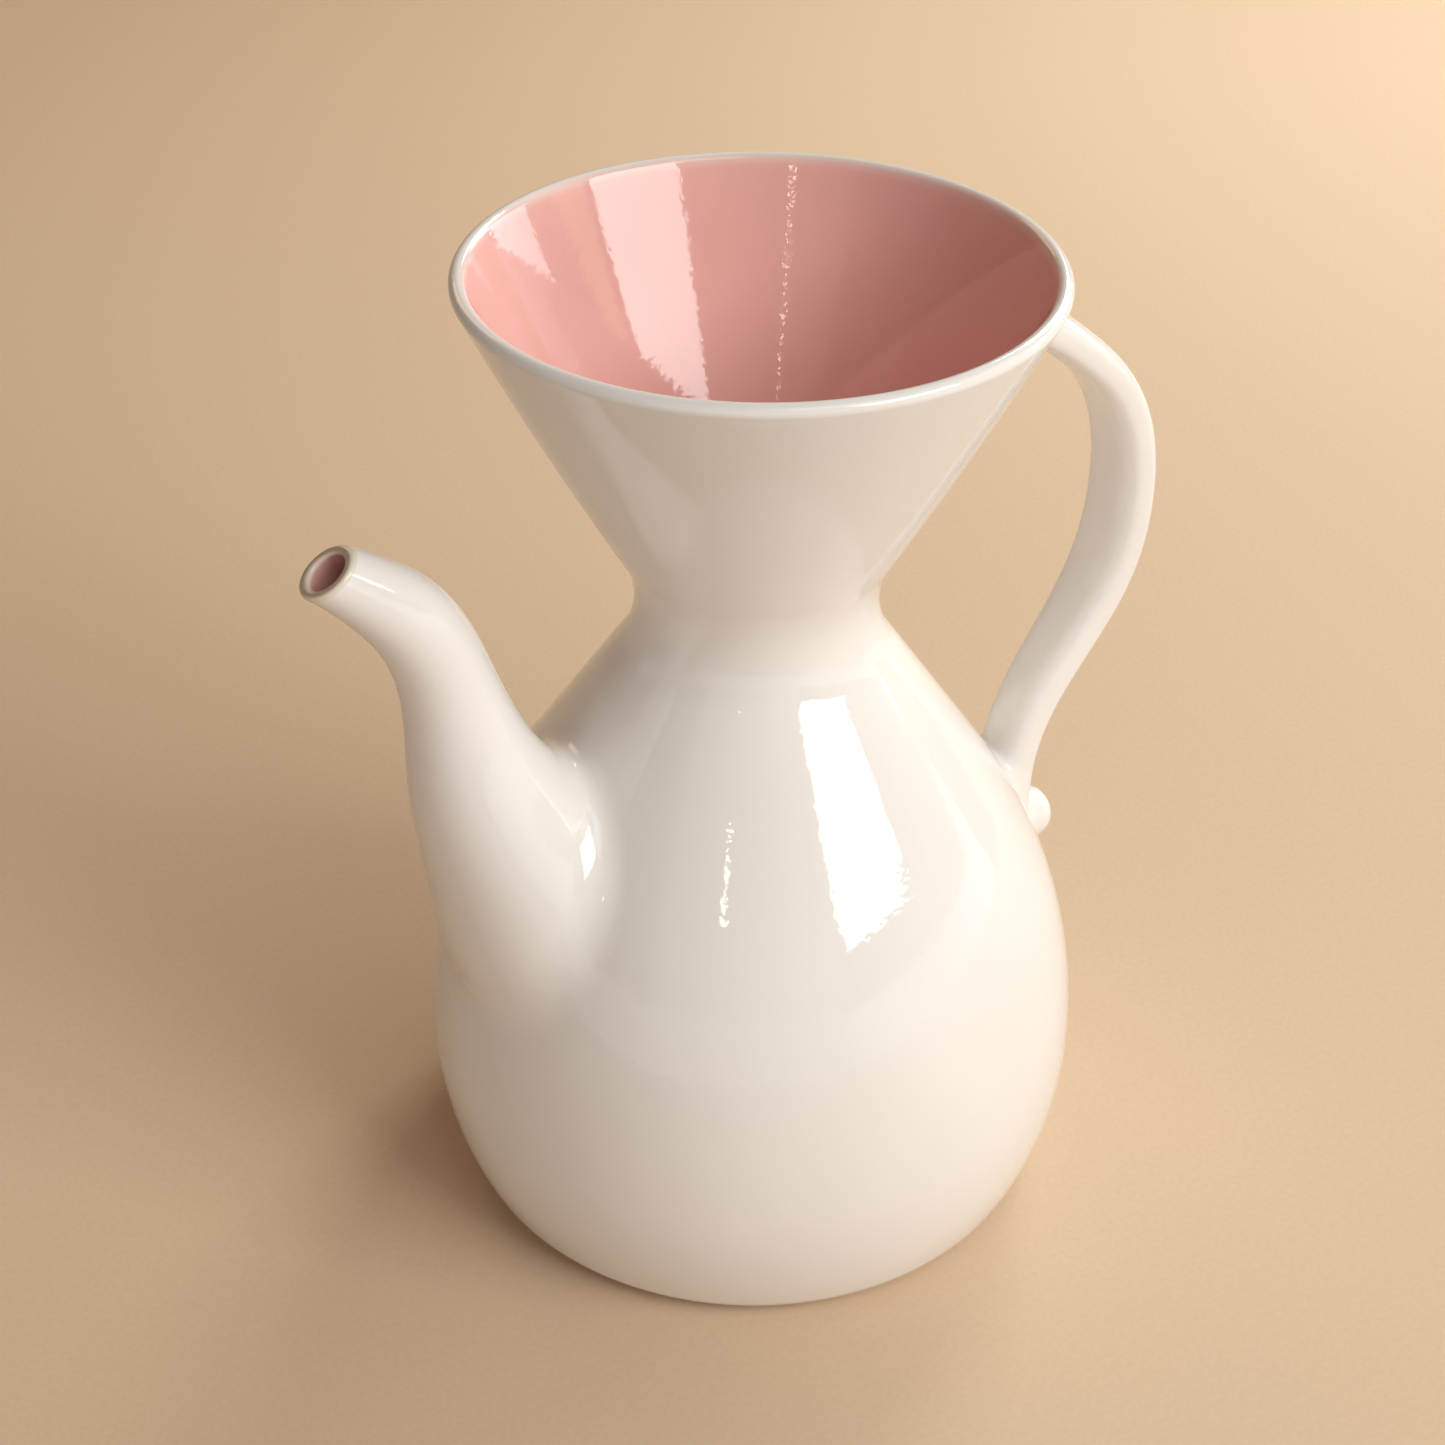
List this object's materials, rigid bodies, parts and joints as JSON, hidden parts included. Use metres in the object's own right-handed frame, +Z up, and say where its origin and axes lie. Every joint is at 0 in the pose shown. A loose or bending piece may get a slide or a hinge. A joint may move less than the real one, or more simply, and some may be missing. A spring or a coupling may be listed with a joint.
{
  "type": "porcelain pouring pot",
  "caption": "White glazed porcelain pouring pot with a wide conical funnel mouth, narrow waist, round belly, curved spout opposite a strap handle, and a pink glazed lining.",
  "frame": {"origin": "on the pot's axis at the floor, centre of the foot ring", "axes": "+Z up along the axis of the turned body, -X towards the spout, +X towards the handle"},
  "size_m": [0.1916, 0.145, 0.2175],
  "materials": {
    "white_glaze": "glossy clear-over-white glaze",
    "pink_glaze": "glossy dusty-pink glaze",
    "bare_clay": "bare or thinly glazed tan clay"
  },
  "bodies": {
    "root": {"foot_ring": "bare_clay", "belly": "white_glaze", "belly_lining": "pink_glaze", "waist_luting": "white_glaze", "funnel": "white_glaze", "funnel_lining": "pink_glaze", "rim": "white_glaze", "spout": "white_glaze", "spout_lip": "bare_clay", "spout_lining": "pink_glaze", "spout_luting": "white_glaze", "handle": "white_glaze", "handle_upper_luting": "white_glaze", "handle_lower_luting": "white_glaze", "handle_terminal": "white_glaze"}
  },
  "joints": []
}
